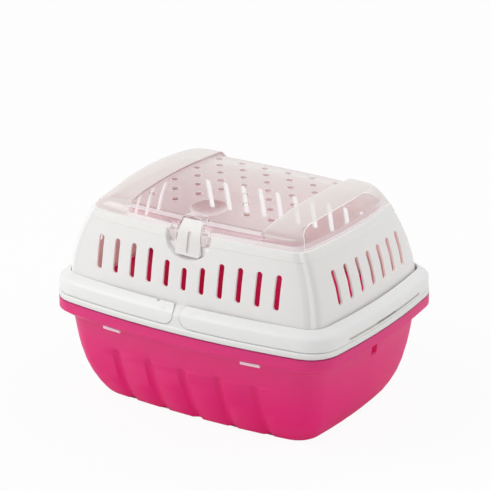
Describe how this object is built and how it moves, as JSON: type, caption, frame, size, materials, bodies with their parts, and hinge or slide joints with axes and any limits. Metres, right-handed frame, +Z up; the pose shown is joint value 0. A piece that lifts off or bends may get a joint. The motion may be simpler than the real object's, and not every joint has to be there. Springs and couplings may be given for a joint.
{
  "type": "plastic pet keeper",
  "caption": "Small-animal carrier: a deep fluted tub, a domed slotted hood with folding handles, and a clear hinged roof held by a rocker latch.",
  "frame": {"origin": "centre of the tub's underside, on the ground", "axes": "+X along the length to the right as seen from the latch side, +Y from the latch side to the hinge side, +Z up"},
  "size_m": [0.3, 0.2294, 0.202],
  "materials": {
    "tub_plastic": "semi-gloss moulded plastic, deep pink, faintly mottled",
    "hood_plastic": "satin moulded plastic, warm white",
    "roof_plastic": "clear pale-pink moulded plastic, frosted on its shoulders",
    "latch_plastic": "semi-gloss moulded plastic, white",
    "handle_plastic": "satin moulded plastic, warm white"
  },
  "bodies": {
    "base": {"base_tub": "tub_plastic"},
    "hood": {"hood": "hood_plastic"},
    "lid": {"lid": "roof_plastic"},
    "latch": {"latch_tab": "latch_plastic"},
    "handle_left": {"handle_left": "handle_plastic"},
    "handle_right": {"handle_right": "handle_plastic"}
  },
  "joints": [
    {"name": "hood_lift", "type": "slide", "parent": "base", "child": "hood", "axis": [0, 0, 1], "range_m": [0, 0.1]},
    {"name": "lid_hinge", "type": "hinge", "parent": "hood", "child": "lid", "pos_m": [0, 0.08547, 0.1834], "axis": [-1, 0, 0], "range_deg": [0, 110]},
    {"name": "latch_pivot", "type": "hinge", "parent": "lid", "child": "latch", "pos_m": [0, -0.0872, 0.181], "axis": [-1, 0, 0], "range_deg": [0, 14], "stiffness_Nm_per_rad": 0.05},
    {"name": "handle_left_pivot", "type": "hinge", "parent": "hood", "child": "handle_left", "pos_m": [-0.014, 0, 0.1129], "axis": [0, -1, 0], "range_deg": [-92, 0]},
    {"name": "handle_right_pivot", "type": "hinge", "parent": "hood", "child": "handle_right", "pos_m": [0.014, 0, 0.1129], "axis": [0, 1, 0], "range_deg": [-92, 0]}
  ]
}
